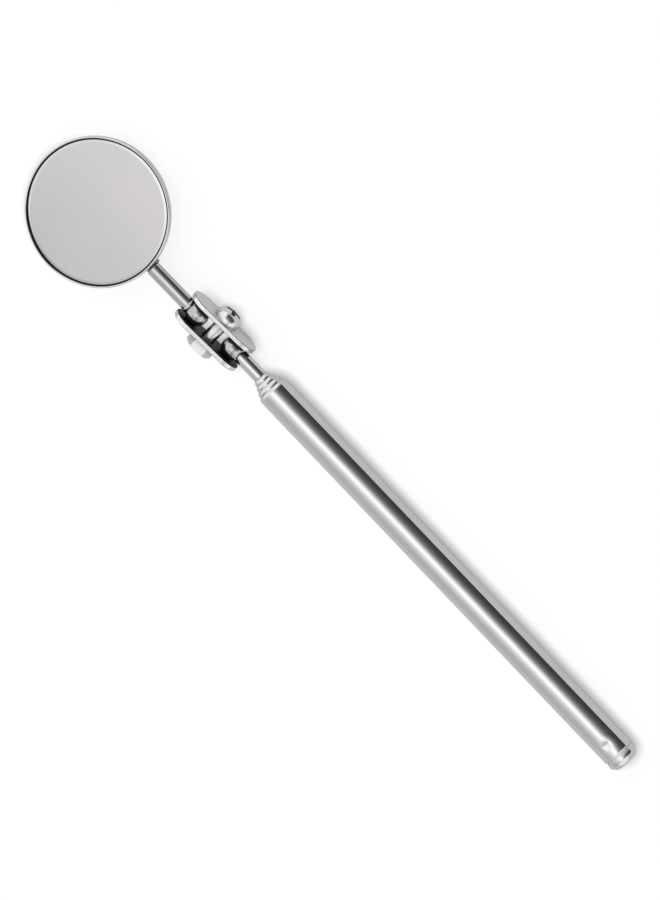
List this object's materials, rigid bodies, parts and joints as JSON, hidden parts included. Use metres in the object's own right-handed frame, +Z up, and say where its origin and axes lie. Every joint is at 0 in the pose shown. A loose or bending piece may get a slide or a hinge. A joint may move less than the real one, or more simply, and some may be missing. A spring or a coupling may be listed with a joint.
{
  "type": "telescoping inspection mirror",
  "caption": "Pocket inspection mirror: small round mirror on a double ball joint at the tip of a slim chrome telescoping handle.",
  "frame": {"origin": "under the telescope's axis, midway along the closed tool, on the table it lies on", "axes": "+X along the telescope towards the mirror, +Y away from the clamp's screw head, +Z up, out of the mirror's face"},
  "size_m": [0.1713, 0.0313, 0.0084],
  "materials": {
    "mirror_glass": "flat silvered mirror glass",
    "case_chrome": "polished chrome plate",
    "pad_board": "grey board",
    "stem_chrome": "polished chrome plate",
    "ball_steel": "polished, faintly marked by turning",
    "plate_steel": "satin, blanked edges bright",
    "fastener_zinc": "bright zinc plate",
    "rod_chrome": "polished chrome plate",
    "tube_chrome": "polished chrome plate",
    "plug_chrome": "polished chrome plate",
    "spring_bronze": "phosphor bronze sheet"
  },
  "bodies": {
    "handle": {"handle_tube": "tube_chrome", "end_plug": "plug_chrome"},
    "section_2": {"tube_2": "tube_chrome", "friction_spring_2": "spring_bronze"},
    "section_3": {"tube_3": "tube_chrome", "friction_spring_3": "spring_bronze"},
    "section_4": {"tube_4": "tube_chrome", "friction_spring_4": "spring_bronze"},
    "rod": {"tip_rod": "rod_chrome", "friction_spring_rod": "spring_bronze"},
    "rod_ball": {"rod_ball": "ball_steel"},
    "clamp": {"clamp_plate_screw_side": "plate_steel", "clamp_plate_nut_side": "plate_steel", "clamp_screw": "fastener_zinc", "clamp_nut": "fastener_zinc"},
    "stem_ball": {"stem_ball": "ball_steel"},
    "mirror_head": {"mirror_stem": "stem_chrome", "mirror_case": "case_chrome", "mirror_glass": "mirror_glass", "backing_pad": "pad_board"}
  },
  "joints": [
    {"name": "section_2_slide", "type": "slide", "parent": "handle", "child": "section_2", "axis": [1, 0, 0], "range_m": [0, 0.091]},
    {"name": "section_3_slide", "type": "slide", "parent": "section_2", "child": "section_3", "axis": [1, 0, 0], "range_m": [0, 0.088]},
    {"name": "section_4_slide", "type": "slide", "parent": "section_3", "child": "section_4", "axis": [1, 0, 0], "range_m": [0, 0.0845]},
    {"name": "rod_slide", "type": "slide", "parent": "section_4", "child": "rod", "axis": [1, 0, 0], "range_m": [0, 0.081]},
    {"name": "clamp_roll", "type": "hinge", "parent": "rod", "child": "rod_ball", "pos_m": [0.03094, 0, 0.0035], "axis": [1, 0, 0], "continuous": true},
    {"name": "clamp_swing", "type": "hinge", "parent": "rod_ball", "child": "clamp", "pos_m": [0.03094, 0, 0.0035], "axis": [0, -1, 0], "range_deg": [-128, 112]},
    {"name": "mirror_swing", "type": "hinge", "parent": "clamp", "child": "stem_ball", "pos_m": [0.0409, 0, 0.0049], "axis": [0, 1, 0], "range_deg": [-132, 108]},
    {"name": "mirror_roll", "type": "hinge", "parent": "stem_ball", "child": "mirror_head", "pos_m": [0.0409, 0, 0.0049], "axis": [0.9977, 0.0253, -0.0628], "continuous": true}
  ]
}
